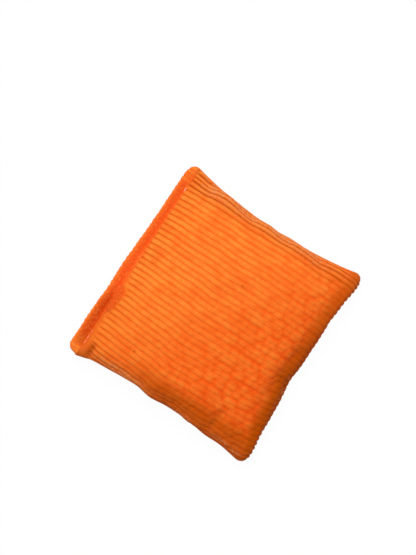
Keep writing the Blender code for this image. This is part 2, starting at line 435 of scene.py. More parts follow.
def pellet_bumps(x, y):
    """Rounded bumps from 0 to 1, as loose pellets make under cloth, in rows that are offset."""
    rng = np.random.default_rng(LUMP_SEED)
    stray = rng.uniform(-LUMP_STRAY_SHARE, LUMP_STRAY_SHARE, (NOISE_CELLS, NOISE_CELLS, 2))
    size = rng.uniform(*LUMP_SIZE_SHARES, (NOISE_CELLS, NOISE_CELLS))
    grid_x = x / LUMP_SPACING + NOISE_CELLS / 2
    grid_y = y / LUMP_SPACING + NOISE_CELLS / 2
    own_column, own_row = np.floor(grid_x).astype(int), np.floor(grid_y).astype(int)
    best = np.zeros_like(x)
    for dx in (-1, 0, 1):
        for dy in (-1, 0, 1):
            column, row = own_column + dx, own_row + dy
            cell = (column % NOISE_CELLS, row % NOISE_CELLS)
            offset = 0.5 * (row % 2)
            centre_x = column + 0.5 + offset - 0.25 + stray[(*cell, 0)]
            centre_y = row + 0.5 + stray[(*cell, 1)]
            away = (grid_x - centre_x) ** 2 + (grid_y - centre_y) ** 2
            share = 1 - away / (LUMP_REACH_SHARE * size[cell]) ** 2
            best = np.maximum(best, size[cell] * np.clip(share, 0, 1))
    return best


def spline_weights(count, places):
    """Catmull-Rom weights that read count points at places from 0 to 1."""
    weights = np.zeros((len(places), count))
    for row, place in enumerate(places):
        along = min(max(place, 0.0), 1.0) * (count - 1)
        first = min(int(along), count - 2)
        t = along - first
        basis = (
            (-t + 2 * t * t - t**3) / 2,
            (2 - 5 * t * t + 3 * t**3) / 2,
            (t + 4 * t * t - 3 * t**3) / 2,
            (-t * t + t**3) / 2,
        )
        for index, weight in enumerate(basis, first - 1):
            if index < 0:
                weights[row, 0] += 2 * weight
                weights[row, 1] -= weight
            elif index > count - 1:
                weights[row, count - 1] += 2 * weight
                weights[row, count - 2] -= weight
            else:
                weights[row, index] += weight
    return weights


def read_shares(shares, places):
    """Reads a table of even places smoothly at places from 0 to 1."""
    dense = np.linspace(0, 1, TABLE_STEPS)
    return np.interp(places, dense, spline_weights(len(shares), dense) @ np.array(shares))


def seam_plan(u, v):
    """Where the cloth lies seen from above, for u along the wales and v across them."""
    far = HALF_LENGTH * read_shares(FAR_EDGE_SHARES, (v + 1) / 2) - LIP_OUT
    far = far - FAR_BULGE * (1 - np.abs(v) ** MIDDLE_POWER)
    x = STITCH_LINE_X + u * (far - STITCH_LINE_X)
    even = np.where(v > 0, read_shares(EVEN_TOP_SHARES, u), read_shares(EVEN_BOTTOM_SHARES, u))
    own = np.where(v > 0, read_shares(TOP_EDGE_SHARES, u), read_shares(BOTTOM_EDGE_SHARES, u))
    y = (HALF_WIDTH * (even + (own - even) * np.abs(v) ** EDGE_DETAIL_POWER) - LIP_OUT) * v
    near_x = np.clip(1 - (far - x) / FAR_CORNER, 0, 1)
    near_y = np.clip(1 - (1 - np.abs(v)) * HALF_WIDTH / FAR_CORNER, 0, 1)
    x = x - FAR_CORNER * near_x * (1 - np.sqrt(1 - near_y**2 / 2))
    y = y - np.sign(v) * FAR_CORNER * near_y * (1 - np.sqrt(1 - near_x**2 / 2))
    return x, y


def plan_places(columns, rows):
    """Even places along the wales, from 0 to 1, and across them, from -1 to 1."""
    u, v = np.linspace(0, 1, columns), np.linspace(-1, 1, rows)
    return np.meshgrid(u, v, indexing="ij")


def crowned_cover():
    """The filled cover before the simulation: front and back grids that share their border."""
    u, v = plan_places(SIM_COLUMNS + 1, SIM_ROWS + 1)
    x, y = seam_plan(u, v)
    power = np.where(u > 0.5, FAR_POWER, CLOSING_POWER)
    rise = (1 - np.abs(2 * u - 1) ** power) ** CROWN_SHARE
    rise *= (1 - np.abs(v) ** CLOSING_POWER) ** CROSS_SHARE
    front = np.stack([x, y, SEAM_HEIGHT + CROWN_RISE * rise], axis=-1)
    fall = (1 - np.abs(2 * u - 1) ** BACK_POWER) ** BACK_SHARE
    fall = fall * (1 - np.abs(v) ** BACK_POWER) ** BACK_SHARE
    back = np.stack([x, y, SEAM_HEIGHT - (SEAM_HEIGHT - REST_GAP) * fall], axis=-1)
    return front, back


def point_numbers(grid):
    return np.arange(grid[..., 0].size).reshape(grid.shape[:2])


def grid_quads(number):
    """Corners of every face of a grid, given the numbers of its points."""
    corners = [number[:-1, :-1], number[1:, :-1], number[1:, 1:], number[:-1, 1:]]
    return np.stack(corners, axis=-1).reshape(-1, 4)


def cover_mesh(front, back):
    """One closed mesh of both grids, and the vertex numbers of each grid."""
    number = np.stack([point_numbers(front), point_numbers(back)])
    inside = back[1:-1, 1:-1]
    number[1, 1:-1, 1:-1] = number[0].size + point_numbers(inside)
    points = np.concatenate([front.reshape(-1, 3), inside.reshape(-1, 3)]) * SIM_SCALE
    faces = np.concatenate([grid_quads(number[0]), grid_quads(number[1])[:, ::-1]])
    mesh = bpy.data.meshes.new("simulated_cover")
    mesh.from_pydata(points.tolist(), [], faces.tolist())
    return mesh, number


def mesh_volume(mesh):
    shape = bmesh.new()
    shape.from_mesh(mesh)
    volume = shape.calc_volume()
    shape.free()
    return volume


def square_mesh(name, reach, level):
    """A level square, for the table that the cloth settles on and for the floor."""
    corners = [(-reach, -reach), (reach, -reach), (reach, reach), (-reach, reach)]
    mesh = bpy.data.meshes.new(name)
    mesh.from_pydata([(*corner, level) for corner in corners], [], [(0, 1, 2, 3)])
    return mesh


def linked_object(name, data):
    obj = bpy.data.objects.new(name, data)
    bpy.context.scene.collection.objects.link(obj)
    return obj


def simulation_table():
    level = REST_GAP * SIM_SCALE - TABLE_DROP
    mesh = square_mesh("simulation_table", TABLE_REACH * SIM_SCALE, level)
    table = linked_object("simulation_table", mesh)
    table.modifiers.new("table", "COLLISION")
    table.collision.thickness_outer = CONTACT_GAP
    table.collision.cloth_friction = TABLE_FRICTION
    return table


def add_cloth(cover, held):
    """The cloth's stiffness, the pellets' pressure in it, and the seam that is held."""
    cloth = cover.modifiers.new("cloth", "CLOTH")
    for label, value in CLOTH_SETTINGS.items():
        setattr(cloth.settings, label, value)
    cloth.settings.vertex_group_mass = held
    cloth.settings.target_volume = mesh_volume(cover.data) * VOLUME_SHARE
    cloth.collision_settings.use_collision = True
    cloth.collision_settings.distance_min = CONTACT_GAP
    cloth.collision_settings.collision_quality = CONTACT_QUALITY
    cloth.point_cache.frame_start = 1
    cloth.point_cache.frame_end = SIM_FRAMES


def simulated_cover():
    """Lets the pellets' weight spread the cover over the table, with the closing seam held."""
    front, back = crowned_cover()
    mesh, number = cover_mesh(front, back)
    cover = linked_object("simulated_cover", mesh)
    table = simulation_table()
    held = cover.vertex_groups.new(name="closing_seam")
    held.add([int(n) for n in number[0, 0]], 1, "REPLACE")
    add_cloth(cover, held.name)
    scene = bpy.context.scene
    for step in range(1, SIM_FRAMES + 1):
        scene.frame_set(step)
    settled = cover.evaluated_get(bpy.context.evaluated_depsgraph_get()).to_mesh()
    points = np.empty(len(settled.vertices) * 3)
    settled.vertices.foreach_get("co", points)
    points = points.reshape(-1, 3) / SIM_SCALE
    front, back = points[number[0]], points[number[1]]
    for obj in (cover, table):
        bpy.data.objects.remove(obj)
    scene.frame_set(1)
    return front, back


def fitted_to_outline(front, back):
    """Moves the settled seam back to the outline that the cloth has on the table."""
    u, v = plan_places(*front.shape[:2])
    wanted = np.stack(seam_plan(u, v), axis=-1)
    move = wanted - front[..., :2]
    across = (1 + v[..., None]) / 2
    along = u[..., None]
    by_sides = (1 - across) * move[:, :1] + across * move[:, -1:]
    by_ends = (1 - along) * move[:1] + along * move[-1:]
    by_corners = (1 - along) * ((1 - across) * move[0, 0] + across * move[0, -1])
    by_corners = by_corners + along * ((1 - across) * move[-1, 0] + across * move[-1, -1])
    shift = by_sides + by_ends - by_corners
    for grid in (front, back):
        grid[..., :2] += shift
    return front, back


def tapered_sides(front):
    """Draws the front down towards the side seams, where the pellets don't fill it out."""
    across = (1 + np.linspace(-1, 1, front.shape[1])[None, :]) / 2
    seam = front[:, :1, 2] * (1 - across) + front[:, -1:, 2] * across
    y = front[..., 1]
    inset = np.minimum(y - y[:, :1], y[:, -1:] - y)
    share = 1 - SIDE_TAPER_SHARE * np.exp(-np.maximum(inset, 0) / SIDE_TAPER_REACH)
    front[..., 2] = seam + (front[..., 2] - seam) * share
    return front


def lengths_along(grid, axis):
    """How far each point is from the first one along an axis of the grid, over the cloth."""
    steps = np.linalg.norm(np.diff(grid, axis=axis), axis=2)
    start = np.zeros_like(np.take(steps, [0], axis=axis))
    return np.concatenate([start, np.cumsum(steps, axis=axis)], axis=axis)


def far_side_bulge(front, back):
    """Rolls the back over the far edge, so that the seam there lies on top."""
    v = np.linspace(-1, 1, front.shape[1])[None, :]
    middle = 1 - np.abs(v) ** MIDDLE_POWER
    for grid, push in ((front, 0.0), (back, 1.0)):
        from_far = lengths_along(grid[::-1], 0)[::-1]
        share = np.clip(from_far / FAR_BULGE_REACH, 0, 1)
        grid[..., 2] += FAR_SEAM_LIFT * middle * (1 - smooth_step(0, 1, share))
        roll = middle * np.sin(np.pi * share) ** ROLL_POWER
        grid[..., 0] += push * (FAR_BULGE + FAR_ROLL) * roll
    return front, back


def wale_places():
    """Places across the cloth, from 0 to 1, and how high the pile is at each."""
    widths = np.ones(WALE_COUNT)
    widths[: len(LOW_WALE_SHARES)] = LOW_WALE_SHARES
    widths[-len(HIGH_WALE_SHARES) :] = HIGH_WALE_SHARES[::-1]
    starts = np.cumsum(widths) - widths
    places = (starts[:, None] + widths[:, None] * np.array(WALE_SHARES)) / widths.sum()
    heights = np.tile(RIDGE_SHARES, WALE_COUNT)
    return np.append(places.ravel(), 1.0), np.append(heights, 0.0)


def even_wales(grid, places):
    """Reads a grid again so that the wales have the same width all along the cloth."""
    weights = spline_weights(grid.shape[1], np.linspace(0, 1, TABLE_STEPS))
    dense = np.einsum("pr,crk->cpk", weights, grid)
    length = lengths_along(dense, 1)
    length /= length[:, -1:]
    rows = [
        np.stack([np.interp(places, length[c], dense[c, :, k]) for k in range(3)], axis=-1)
        for c in range(len(dense))
    ]
    return np.array(rows)


def surface_normals(grid):
    along = np.gradient(grid, axis=0)
    across = np.gradient(grid, axis=1)
    normal = np.cross(along, across)
    return normal / np.maximum(np.linalg.norm(normal, axis=-1, keepdims=True), TINY)


def edge_distance(grid):
    """How far each point is from the sides, the far edge and the stitches, over the cloth."""
    from_low = lengths_along(grid, 1)
    from_high = from_low[:, -1:] - from_low
    from_start = lengths_along(grid, 0)
    from_far = from_start[-1:] - from_start
    return np.minimum(from_low, from_high), from_far, from_start


def fold_heights(x, y):
    """Height of every fold and hollow at each point."""
    height = np.zeros_like(x)
    for start_x, start_y, end_x, end_y, width, rise in FOLD_SHARES:
        ax, ay = start_x * HALF_WIDTH, start_y * HALF_WIDTH
        dx, dy = end_x * HALF_WIDTH - ax, end_y * HALF_WIDTH - ay
        share = np.clip(((x - ax) * dx + (y - ay) * dy) / (dx * dx + dy * dy), 0, 1)
        distance = np.hypot(x - ax - share * dx, y - ay - share * dy)
        height += rise * HALF_WIDTH * np.exp(-((distance / (width * HALF_WIDTH)) ** 2))
    return height


def wale_drift(x, y, sides):
    """How far the wales wander sideways, most of all where the cloth is gathered at the sides."""
    along = (x - STITCH_LINE_X) / (HALF_LENGTH - STITCH_LINE_X)
    low_wave = read_shares(BOTTOM_WAVE_SHARES, along)
    wave = np.where(y > 0, read_shares(TOP_WAVE_SHARES, along), low_wave)
    waving = fade("waves in", sides) * (1 - fade("waves out", sides))
    loose = cloth_noise("wander", x, y) * ramp("wander", waving)
    return WALE_WIDTH * (wave * waving + loose + WAVER_SHARE * cloth_noise("waver", x, y))


def along_closing_seam(y):
    """Place of a point beside the closing seam, from 0 at -Y to 1 at +Y."""
    return np.clip((y / HALF_WIDTH + 1) / 2, 0, 1)


def whole_wales(y, inset):
    """0 on the plain pile beside the stitches, and 1 where the wales are whole."""
    begins = PLAIN_STRIP * read_shares(WALE_START_SHARES, along_closing_seam(y))
    return fade("wale's start", inset - begins)


def towards_shade(x, y):
    """How far a point lies towards the far end of the lower side, where the cloth sags and where
    shade is painted.
    """
    return SHADE_X_SHARE * x - SHADE_Y_SHARE * y


def with_spots(amount, at, spots):
    """Adds spots that fade from their centre over their reach."""
    for x, y, reach_x, reach_y, share in spots:
        away_x = (at.x - x * HALF_WIDTH) / (reach_x * HALF_WIDTH)
        away_y = (at.y - y * HALF_WIDTH) / (reach_y * HALF_WIDTH)
        amount = amount + share * np.exp(-(away_x**2) - away_y**2)
    return amount


def painted_shade_amount(at):
    """Painted shade, as browner pile: in the grooves by the stitches and at the sides, at the dark
    spots, on the rolled far edge, and on the far part of the low side."""
    near_band = 1 - fade("inner grooves", at.inset)
    low_grooves = LOW_GROOVE_SHADE_SHARE * (1 - fade("low grooves", at.sides))
    outer = np.where(at.y > 0, 1 - fade("top grooves", at.sides), low_grooves)
    amount = (1 - at.ridge) * np.maximum(BAND_GROOVE_SHADE_SHARE * near_band, outer)
    amount = with_spots(amount + OUTER_SHADE_SHARE * outer, at, DARK_AND_SHADE_SPOT_SHARES)
    rolled = fade("far roll", at.x - at.x[-1:]) * ramp("roll", fade("low roll", -at.y))
    lower = fade("low side", -at.y) * fade("low side far", at.x)
    return np.clip(np.maximum(amount, np.maximum(rolled, LOW_SIDE_SHADE_SHARE * lower)), 0, 1)


def painted_sheen_amount(at):
    """Painted sheen, as paler pile, on the wales that turn down at the sides, most of all in the
    top's middle.
    """
    turned = 1 - fade("turned down", at.sides)
    middle = fade("sheen near", at.inset) * (1 - fade("sheen far", at.x))
    amount = turned * np.where(at.y > 0, ramp("top sheen", middle), LOW_SHEEN_SHARE)
    return with_spots(amount, at, SHEEN_SPOT_SHARES) * ramp("painted_sheen", at.ridge)


def fuzz_amount(at):
    """Pale fibres along the seams, and on a worn stretch of the far one."""
    return with_spots(np.exp(-((at.seamed / FUZZ_REACH) ** 2)), at, WORN_SPOT_SHARES)


def lip_redness(y, inset):
    """Crushed red pile beside the stitches, widest on a raised lip below the middle."""
    middle, reach = LIP_SHARES
    lip = np.exp(-(((y + middle * HALF_WIDTH) / (reach * HALF_WIDTH)) ** LIP_POWER))
    width = ramp("lip's reach", lip) * MM
    middle, reach = LOW_END_SHARES
    low_end = np.exp(-(((y + middle * HALF_WIDTH) / (reach * HALF_WIDTH)) ** 2))
    low_end = LOW_END_RED_SHARE * low_end * (1 - fade("lip's low end", inset))
    red = ramp("lip's red", lip) * (1 - smooth_step(*LIP_FADE_SHARES, inset / width))
    return np.maximum(red, low_end)


def hem_corner(y):
    """Rounds the two ends of the hem."""
    reach = np.where(y > 0, TOP_HEM_CORNER, LOW_HEM_CORNER)
    inward = np.clip((np.abs(y) - BAND_END_Y + reach) / reach, 0, 1)
    return np.sqrt(1 - inward**2)


def cloth_fields(fine, ridge_row):
    """Moves the wales along the cloth, and gives what the relief and the colours depend on."""
    sides, far, start = edge_distance(fine)
    seamed = np.minimum(sides, far)
    edge = np.minimum(seamed, start)
    x, y = fine[..., 0], fine[..., 1]
    inset = x - x[:1]
    fine[..., 1] += wale_drift(x, y, sides) * fade("drift", edge)
    stray_x = x + LUMP_STRAY * cloth_noise("stray", x, y)
    lumps = pellet_bumps(stray_x, y) * ramp("settled lumps", cloth_noise("settled", x, y))
    return SimpleNamespace(
        x=x,
        y=y,
        sides=sides,
        far=far,
        seamed=seamed,
        edge=edge,
        inset=inset,
        ridge=CRUSHED_SHARE + (ridge_row[None, :] - CRUSHED_SHARE) * whole_wales(y, inset),
        near_stitches=fade("stitches", start),
        near=fade("lumps from edge", edge) * fade("lumps from stitches", start),
        gathered=1 - fade("gathers", sides),
        sag=fade("sag", towards_shade(x, y)),
        lumps=lumps,
    )


def wale_crest(at, rounded):
    """How much of their height the wales have."""
    crest = at.ridge * ramp("crest by sag", at.sag) * ramp("crest by rounding", rounded)
    crest = crest * ramp("crest by stitches", at.near_stitches)
    top = ramp("top crest", at.gathered)
    return crest * np.where(at.y > 0, top, ramp("low crest", at.gathered))


def cover_relief(at):
    """Height of the cloth, its wales, lumps and pile, and the scallops of the far seam."""
    rounded = smooth_step(0, 1, np.clip(at.seamed / SEAM_ROUNDING, 0, 1)) ** ROUNDING_POWER
    height = CLOTH_OUT * rounded * at.near_stitches + WALE_HEIGHT * wale_crest(at, rounded)
    soft = cloth_noise("soft", at.x, at.y) + SOFTER_SHARE * cloth_noise("softer", at.x, at.y)
    lumps = LUMP_HEIGHT * at.lumps * ramp("lumps by sag", at.sag)
    height = height + at.near * (lumps + SOFT_HEIGHT * soft)
    at_far = np.exp(-((at.far / FAR_SCALLOP_REACH) ** 2)) * fade("scallops", at.sides)
    height = height + PILE_HEIGHT * cloth_noise("pile", at.x, at.y) * rounded
    return height + FAR_SCALLOP * (at.ridge - MEAN_RIDGE_SHARE) * at_far


def cover_shares(at, band_y, band_groove):
    """What the material reads at each point, first on the hem and then on the bag."""
    blank = np.zeros_like(band_groove)
    depth = ramp("groove depth", at.gathered) - SAG_GROOVE_SHARE * at.sag
    shade = cloth_noise("blotches", at.x, at.y) * BLOTCH_REACH + towards_shade(at.x, at.y)
    # The groove, hollow and shade amounts and the browner amount are painted shade; the lump
    # amount is a painted highlight, and the paler amount on turned-down wales is a painted sheen
    shares = {
        "groove": (band_groove, (1 - at.ridge) * depth),
        "band": (band_redness(band_y), lip_redness(at.y, at.inset)),
        "hollow": (blank, at.near * (1 - at.lumps) * at.sag),
        "lump": (blank, at.near * at.lumps * at.sag),
        "shade": (blank, fade("shade", shade)),
        "painted_shade": (band_painted_shade(band_y), painted_shade_amount(at)),
        "fuzz": (blank + HEM_FUZZ_SHARE, fuzz_amount(at)),
        "painted_sheen": (blank, painted_sheen_amount(at)),
    }
    return {label: np.concatenate(pair, axis=0) for label, pair in shares.items()}


def cover_surface(grid, upward):
    """One side of the cover with its relief, its half of the hem, and what its material reads."""
    places, ridge_row = wale_places()
    coarse = even_wales(grid, places)
    columns = np.linspace(0, 1, FINE_COLUMNS + 1) ** COLUMN_POWER
    fine = np.einsum("pc,crk->prk", spline_weights(len(coarse), columns), coarse)
    normal = surface_normals(fine) * upward
    at = cloth_fields(fine, ridge_row)
    height = cover_relief(at)
    if upward > 0:
        height = height + fold_heights(at.x, at.y) * fade("folds", at.edge)
    surface = fine + normal * height[..., None]
    lift = STITCHED_HEIGHT * read_shares(STITCH_LIFT_SHARES, along_closing_seam(at.y))
    lift = lift * (1 - at.near_stitches) * ramp("stitches' lift", hem_corner(at.y))
    surface[..., 2] += upward * lift
    surface[..., 2] = np.maximum(surface[..., 2], PRESSED_LEVEL)
    band, band_groove = build_band_rows(surface[0], upward, ridge_row)
    shares = cover_shares(at, band[..., 1], band_groove)
    return np.concatenate([band, surface], axis=0), shares


def join_borders(front_points, back_points):
    """Makes the two sides meet exactly along the hem's fold and the turned seam."""
    for border in (np.s_[0, :], np.s_[-1, :], np.s_[:, 0], np.s_[:, -1]):
        middle = (front_points[border] + back_points[border]) / 2
        front_points[border] = middle
        back_points[border] = middle


def dressed_cover(name, surface, shares, flipped, node):
    """Turns one side of the cover into a piece that replaces its plain solid."""
    mesh = grid_mesh(name, surface, flipped)
    for label, amounts in shares.items():
        layer = mesh.attributes.new(label, "FLOAT", "POINT")
        layer.data.foreach_set("value", amounts.ravel().astype(np.float32))
    cover = linked_object(name, mesh)
    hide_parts(node)
    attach(cover, "root")
    return cover


def band_places():
    """How far out from the stitches each row of the hem lies, as shares of its width."""
    return np.array([out_share for out_share, _ in BAND_SHARES])[:, None]


def band_redness(y):
    """The hem's pile is reddest in the middle of its width, and orange at its ends."""
    middle = read_shares(BAND_RED_SHARES, band_places())
    return middle * ramp("hem's red", fade("hem's ends", np.abs(y)))


def band_painted_shade(y):
    """Painted shade on the inner half of the hem, darker on its lower part."""
    inner = 1 - smooth_step(*HEM_SHADE_FADE_SHARES, band_places())
    lower = fade("hem shade starts", -y) * (1 - fade("hem shade ends", -y))
    return HEM_SHADE_SHARE * lower * inner


def closing_seam_height(y):
    return np.interp(y, front[0, :, 1], front[0, :, 2])


def build_band_rows(stitch_row, upward, ridge):
    """Rows of the folded hem, from its outer fold to the line of stitches."""
    y = stitch_row[:, 1]
    corner = hem_corner(y)
    width = BAND_WIDTH * read_shares(BAND_EDGE_SHARES, np.clip((y / BAND_END_Y + 1) / 2, 0, 1))
    lift = read_shares(STITCH_LIFT_SHARES, along_closing_seam(y))
    crossing = CROSSING_GROOVE_SHARE * fade("crossing", y)
    rows, grooves = [], []
    for out_share, up_share in BAND_SHARES:
        raised = 1 - smooth_step(*HEM_LIFT_FADE_SHARES, out_share)
        up_share = up_share * (1 + (lift - 1) * raised)
        level = np.full_like(y, out_share * BAND_WIDTH)
        fuzz = cloth_noise("hem fuzz", y, level)
        waves = cloth_noise("hem waves", y, level)
        out = width * out_share * ramp("hem's width", corner)
        out = out + (HEM_WAVE_OUT * waves + HEM_FUZZ_OUT * fuzz) * out_share
        out = out + HEM_SCALLOP * (ridge - MEAN_RIDGE_SHARE) * out_share**2
        up = BAND_HALF_THICKNESS * up_share * ramp("hem's height", corner)
        up = up + (HEM_FUZZ_UP * fuzz + HEM_WAVE_UP * waves) * up_share
        up = up + HEM_SWELL * ridge * up_share * (1 - out_share)
        row = stitch_row.copy()
        row[:, 0] = stitch_row[:, 0] - out
        row[:, 2] = closing_seam_height(y) + upward * up
        rows.append(row)
        # Painted shade in the hem's grooves, stronger outwards and at its top end
        grooves.append((1 - ridge) * (ramp("hem's grooves", out_share) + crossing))
    return np.array(rows), np.array(grooves)


def grid_mesh(name, grid, flipped):
    quads = grid_quads(point_numbers(grid))
    if flipped:
        quads = quads[:, ::-1]
    mesh = bpy.data.meshes.new(name)
    mesh.from_pydata(grid.reshape(-1, 3).tolist(), [], quads.tolist())
    mesh.polygons.foreach_set("use_smooth", [True] * len(mesh.polygons))
    mesh.update()
    return mesh


def hidden_piece(name, mesh, node):
    """Places a piece that replaces a plain solid of the same kind."""
    piece = linked_object(name, mesh)
    mesh.polygons.foreach_set("use_smooth", [True] * len(mesh.polygons))
    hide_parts(node)
    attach(piece, "root")
    return piece


def even_path(points, step):
    """Reads a path again at even steps, and says how far along each point is."""
    lengths = np.linalg.norm(np.diff(points, axis=0), axis=1)
    along = np.concatenate([[0], np.cumsum(lengths)])
    places = np.linspace(0, along[-1], int(along[-1] / step) + 1)
    return np.stack([np.interp(places, along, points[:, k]) for k in range(3)], axis=-1), places


def thread_mesh(name, points):
    """A round thread along points, closed at both ends."""
    ahead = np.gradient(points, axis=0)
    ahead /= np.linalg.norm(ahead, axis=1, keepdims=True)
    across = np.cross(ahead, (0, 0, 1))
    across /= np.linalg.norm(across, axis=1, keepdims=True)
    above = np.cross(across, ahead)
    turn = np.linspace(0, 2 * math.pi, THREAD_SIDES, endpoint=False)[None, :, None]
    ring = across[:, None] * np.cos(turn) + above[:, None] * np.sin(turn)
    rings = points[:, None] + THREAD_RADIUS * ring
    number = np.arange(len(points) * THREAD_SIDES).reshape(-1, THREAD_SIDES)
    after = np.roll(number, -1, axis=1)
    quads = np.stack([number[:-1], after[:-1], after[1:], number[1:]], axis=-1).reshape(-1, 4)
    faces = quads.tolist() + [number[0, ::-1].tolist(), number[-1].tolist()]
    mesh = bpy.data.meshes.new(name)
    mesh.from_pydata(rings.reshape(-1, 3).tolist(), [], faces)
    return mesh


def stitched_path(points, pitch, side, depth):
    """Sinks a thread into the cloth between its stitches."""
    path, along = even_path(points, pitch / STITCH_STEPS)
    wave = np.abs(np.sin(math.pi * along / pitch)) ** STITCH_POWER
    path[:, 2] += side * depth * (wave - 0.5)
    return path


def turned_seam_path():
    """The line of the hidden stitches, a seam allowance inside the cover's edge."""
    u = np.linspace(SEAM_START_SHARE, 1, SIDE_SEAM_STEPS)
    v = np.linspace(-1, 1, SIDE_SEAM_STEPS)
    inset = SEAM_ALLOWANCE / HALF_WIDTH
    low = np.stack([u * (1 - inset), np.full_like(u, inset - 1)], axis=-1)
    far = np.stack([np.full_like(v, 1 - inset), v * (1 - inset)], axis=-1)
    places = np.concatenate([low, far[1:-1], low[::-1] * (1, -1)])
    columns, rows = front.shape[0] - 1, front.shape[1] - 1
    along, across = places[:, 0] * columns, (places[:, 1] + 1) / 2 * rows
    i = np.minimum(along.astype(int), columns - 1)
    j = np.minimum(across.astype(int), rows - 1)
    s, t = (along - i)[:, None], (across - j)[:, None]
    middle = (front + back) / 2
    low = middle[i, j] * (1 - s) + middle[i + 1, j] * s
    high = middle[i, j + 1] * (1 - s) + middle[i + 1, j + 1] * s
    return low * (1 - t) + high * t


def closing_seam_path(surface):
    """The row of stitches between the hem and the bag, just under the pile."""
    row = surface[len(BAND_SHARES)]
    end = CLOSING_END_SHARE * HALF_WIDTH
    y = np.linspace(-end, end, CLOSING_SEAM_STEPS)
    x = np.interp(y, row[:, 1], row[:, 0])
    z = np.interp(y, row[:, 1], row[:, 2])
    return np.stack([x, y, z], axis=-1)


def showing_amount(y):
    """How far the closing stitches stand out of the pile, from 0 to 1."""
    place = y / HALF_WIDTH
    shown = np.zeros_like(y)
    for low, high, amount in SHOWING_SHARES:
        inside = smooth_step(low - SHOWING_FADE_SHARE, low + SHOWING_FADE_SHARE, place)
        beyond = smooth_step(high - SHOWING_FADE_SHARE, high + SHOWING_FADE_SHARE, place)
        shown = np.maximum(shown, amount * (inside * (1 - beyond)))
    return shown


def add_threads():
    """The needle and bobbin threads of both seams."""
    threads = []
    turned = turned_seam_path()
    for label, side in (("needle", 1), ("bobbin", -1)):
        path = stitched_path(turned, SIDE_PITCH, side, SIDE_DEPTH)
        path[:, 2] += side * THREAD_RADIUS
        name = "side_" + label + "_stitches"
        mesh = thread_mesh(name, path)
        threads.append(hidden_piece(name, mesh, "side_seam_" + label + "_thread"))
    for label, side, surface in (("needle", 1, front_surface), ("bobbin", -1, back_surface)):
        path = stitched_path(closing_seam_path(surface), CLOSING_PITCH, side, CLOSING_DEPTH)
        shown = showing_amount(path[:, 1]) if side > 0 else np.zeros(len(path))
        path[:, 2] += side * (THREAD_RISE * np.sqrt(shown) - THREAD_SUNK)
        name = "closing_" + label + "_stitches"
        mesh = thread_mesh(name, path)
        layer = mesh.attributes.new("pale", "FLOAT", "POINT")
        layer.data.foreach_set("value", np.repeat(shown, THREAD_SIDES).astype(np.float32))
        threads.append(hidden_piece(name, mesh, "closing_seam_" + label + "_thread"))
    return threads


def cover_tree(surface):
    quads = grid_quads(point_numbers(surface))
    return BVHTree.FromPolygons(surface.reshape(-1, 3).tolist(), quads.tolist())


def pellet_places():
    """Offset layers of places, kept wherever a pellet fits between front and back."""
    trees = [cover_tree(surface[:, ::2]) for surface in (front_surface, back_surface)]
    row_pitch, layer_pitch = PELLET_PITCH * math.sqrt(3) / 2, PELLET_PITCH * math.sqrt(2 / 3)
    rows, layers = int(HALF_WIDTH / row_pitch), int(cad_high[2] / layer_pitch) + 1
    reach = PELLET_RADIUS + PELLET_CLEARANCE
    places = []
    for layer in range(layers):
        z = REST_GAP + reach + layer * layer_pitch
        for row in range(-rows, rows + 1):
            y = (row + (layer % 2) / 3) * row_pitch
            shift = ((row + layer) % 2) / 2
            for column in range(-rows, rows + 1):
                place = Vector(((column + shift) * PELLET_PITCH, y, z))
                above = trees[0].ray_cast(place, Vector((0, 0, 1)))[0]
                below = trees[1].ray_cast(place, Vector((0, 0, -1)))[0]
                if above is None or below is None:
                    continue
                if min(tree.find_nearest(place)[3] for tree in trees) > reach:
                    places.append(tuple(place))
    return np.array(places)


def pellet_shape():
    """Points and faces of one rounded, slightly flattened pellet of radius 1."""
    turn = np.linspace(0, 2 * math.pi, PELLET_SIDES, endpoint=False)
    points = [(0, 0, PELLET_FLATNESS_SHARE)]
    for angle in np.linspace(0, math.pi, PELLET_RINGS + 2)[1:-1]:
        width, level = math.sin(angle) ** PELLET_POWER, PELLET_FLATNESS_SHARE * math.cos(angle)
        points += [(width * math.cos(a), width * math.sin(a), level) for a in turn]
    points.append((0, 0, -PELLET_FLATNESS_SHARE))
    following = [(k + 1) % PELLET_SIDES for k in range(PELLET_SIDES)]
    faces = [(0, 1 + k, 1 + after) for k, after in enumerate(following)]
    for base in range(1, 1 + (PELLET_RINGS - 1) * PELLET_SIDES, PELLET_SIDES):
        under = base + PELLET_SIDES
        faces += [
            (base + k, under + k, under + after, base + after) for k, after in enumerate(following)
        ]
    base, last = len(points) - 1 - PELLET_SIDES, len(points) - 1
    faces += [(base + k, last, base + after) for k, after in enumerate(following)]
    return np.array(points), faces


def pellet_mesh():
    """All the pellets, each turned its own way."""
    rng = np.random.default_rng(PELLET_SEED)
    places = pellet_places()
    shape, faces = pellet_shape()
    spin, _ = np.linalg.qr(rng.normal(size=(len(places), 3, 3)))
    spin = spin * np.sign(np.linalg.det(spin))[:, None, None]
    size = PELLET_RADIUS * rng.uniform(*PELLET_SIZE_SHARES, (len(places), 1, 1))
    points = places[:, None] + size * np.einsum("pij,vj->pvi", spin, shape)
    all_faces = []
    for index in range(len(places)):
        offset = index * len(shape)
        all_faces += [tuple(offset + corner for corner in face) for face in faces]
    mesh = bpy.data.meshes.new("fill_pellets")
    mesh.from_pydata(points.reshape(-1, 3).tolist(), [], all_faces)
    return mesh


front, back = far_side_bulge(*fitted_to_outline(*simulated_cover()))
front = tapered_sides(front)
front_surface, front_shares = cover_surface(front, 1)
back_surface, back_shares = cover_surface(back, -1)
join_borders(front_surface, back_surface)
front_cover = dressed_cover("front_cover", front_surface, front_shares, False, "front_panel")
back_cover = dressed_cover("back_cover", back_surface, back_shares, True, "back_panel")
threads = add_threads()
pellets = hidden_piece("fill_pellets", pellet_mesh(), "pellet_fill")

